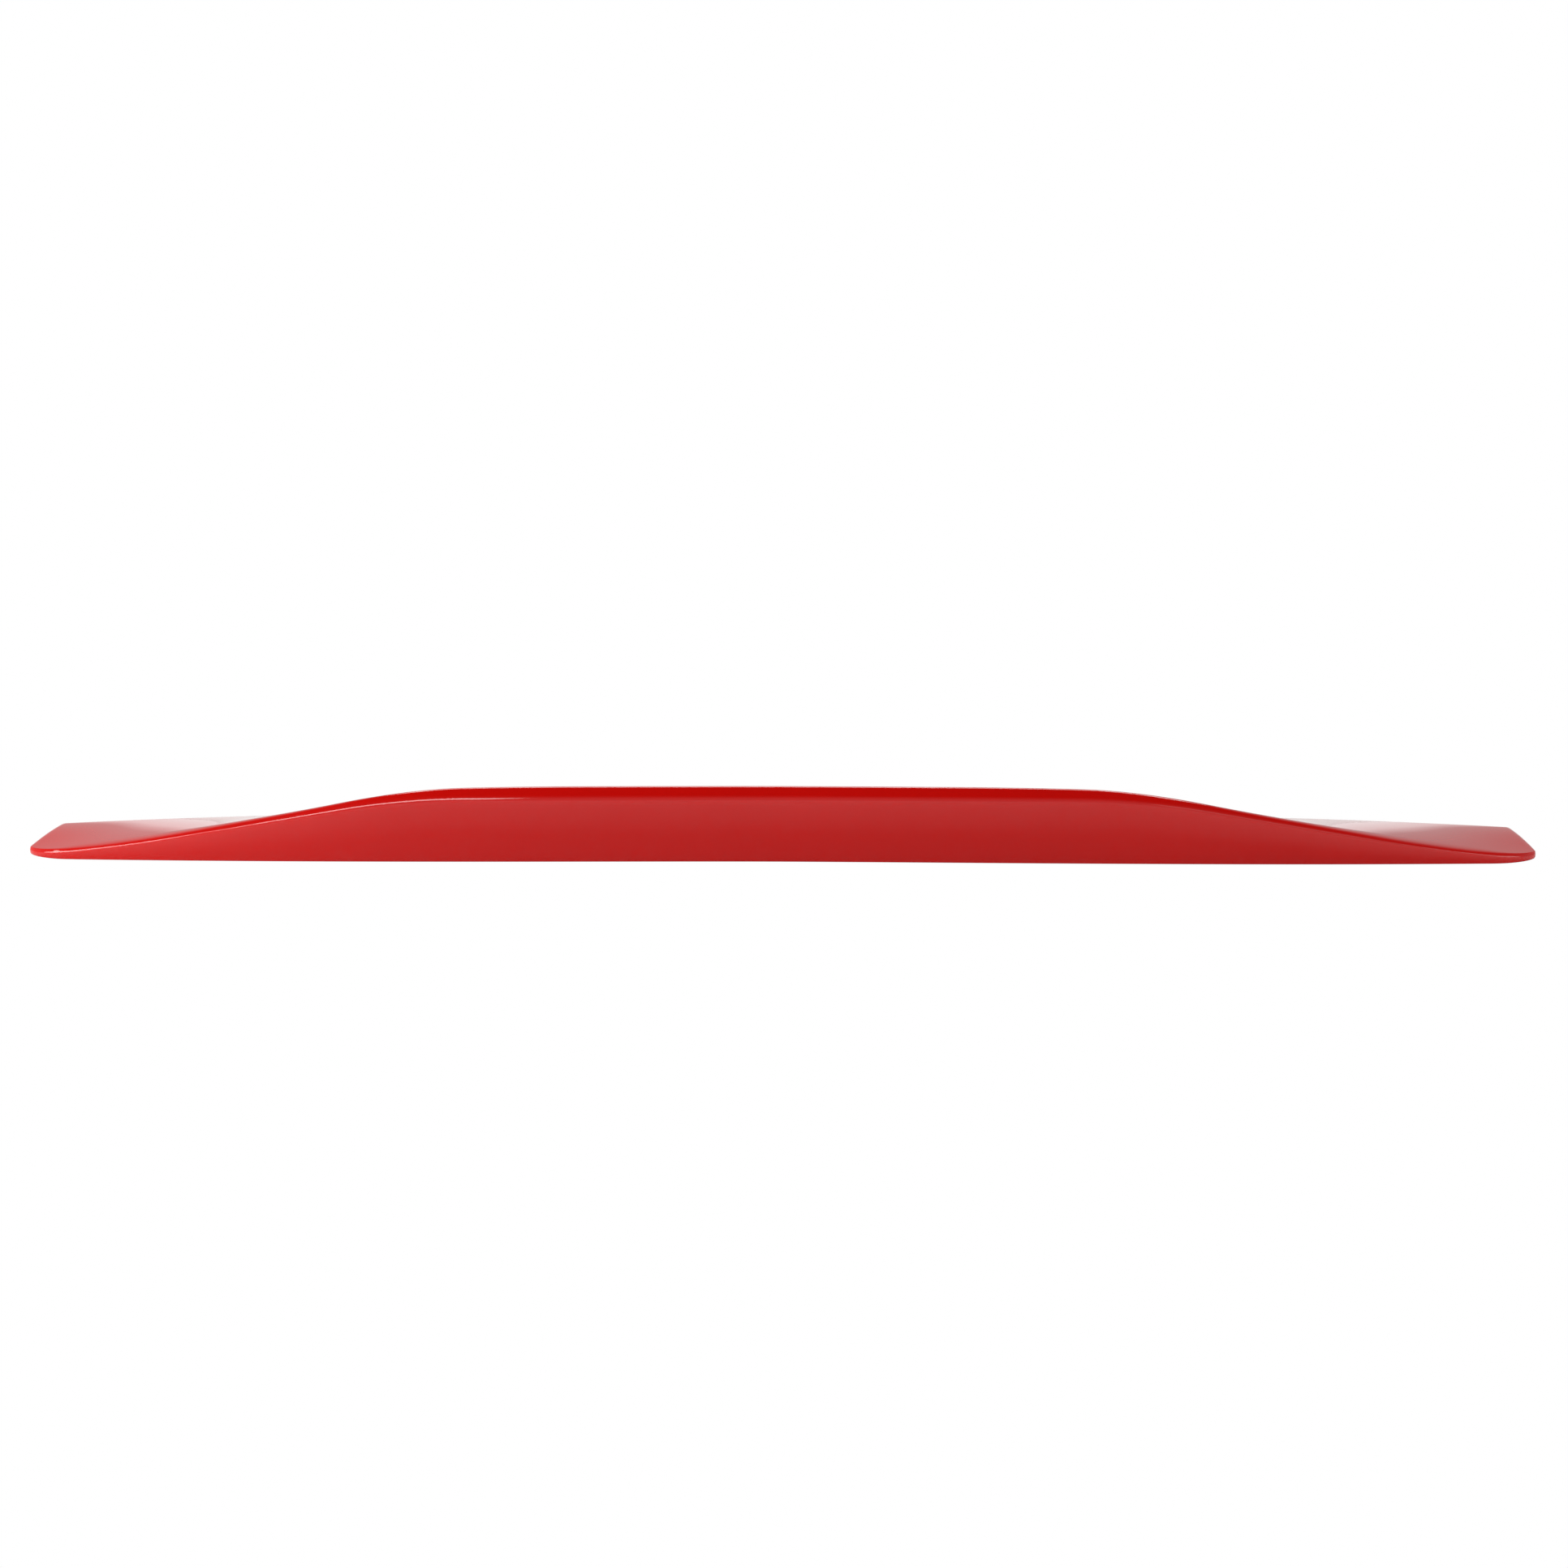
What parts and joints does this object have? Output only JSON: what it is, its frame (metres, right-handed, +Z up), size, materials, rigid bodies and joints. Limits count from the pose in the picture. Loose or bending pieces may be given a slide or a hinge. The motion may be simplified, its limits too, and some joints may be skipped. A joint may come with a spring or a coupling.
{
  "type": "boot lid spoiler",
  "caption": "Red boot-lid lip spoiler with a ducktail top, a blunt lip and a leaning rear face, held by studs, locating pins and foam tape.",
  "frame": {"origin": "midway between the two inner studs, on the plane where they leave their seats", "axes": "+X across the car towards its right side, +Y towards the front of the car, +Z up; the studs point along -Z"},
  "size_m": [1.24, 0.1799, 0.0715],
  "materials": {
    "painted_abs": "two-coat red paint with clear coat",
    "black_abs": "moulded, fine grain",
    "nylon_black": "glass-filled, moulded",
    "abs_offcut": "natural, sawn",
    "adhesive": "cured structural bead",
    "zinc_steel": "bright zinc plated",
    "brass": "turned",
    "epdm": "closed-cell foam and strip",
    "nylon_natural": "moulded",
    "foam_tape": "acrylic foam",
    "liner_film": "release film"
  },
  "bodies": {
    "root": {"outer_skin": "painted_abs", "base_panel": "black_abs", "cross_ribs": "abs_offcut", "end_block_left": "abs_offcut", "end_block_right": "abs_offcut", "seam_bond_rear": "adhesive", "seam_bond_front": "adhesive", "screw_blocks": "abs_offcut", "panel_screws": "zinc_steel", "stud_bosses": "nylon_black", "stud_inserts": "brass", "mounting_studs": "zinc_steel", "stud_gaskets": "epdm", "pin_bosses": "nylon_black", "locating_pins": "nylon_natural", "drain_plugs": "epdm", "front_edge_seal": "epdm", "tape_rear_left": "foam_tape", "liner_rear_left": "liner_film", "tape_rear_centre": "foam_tape", "liner_rear_centre": "liner_film", "tape_rear_right": "foam_tape", "liner_rear_right": "liner_film", "tape_front_left": "foam_tape", "liner_front_left": "liner_film", "tape_front_centre": "foam_tape", "liner_front_centre": "liner_film", "tape_front_right": "foam_tape", "liner_front_right": "liner_film", "tape_end_left": "foam_tape", "liner_end_left": "liner_film", "tape_end_right": "foam_tape", "liner_end_right": "liner_film"}
  },
  "joints": []
}
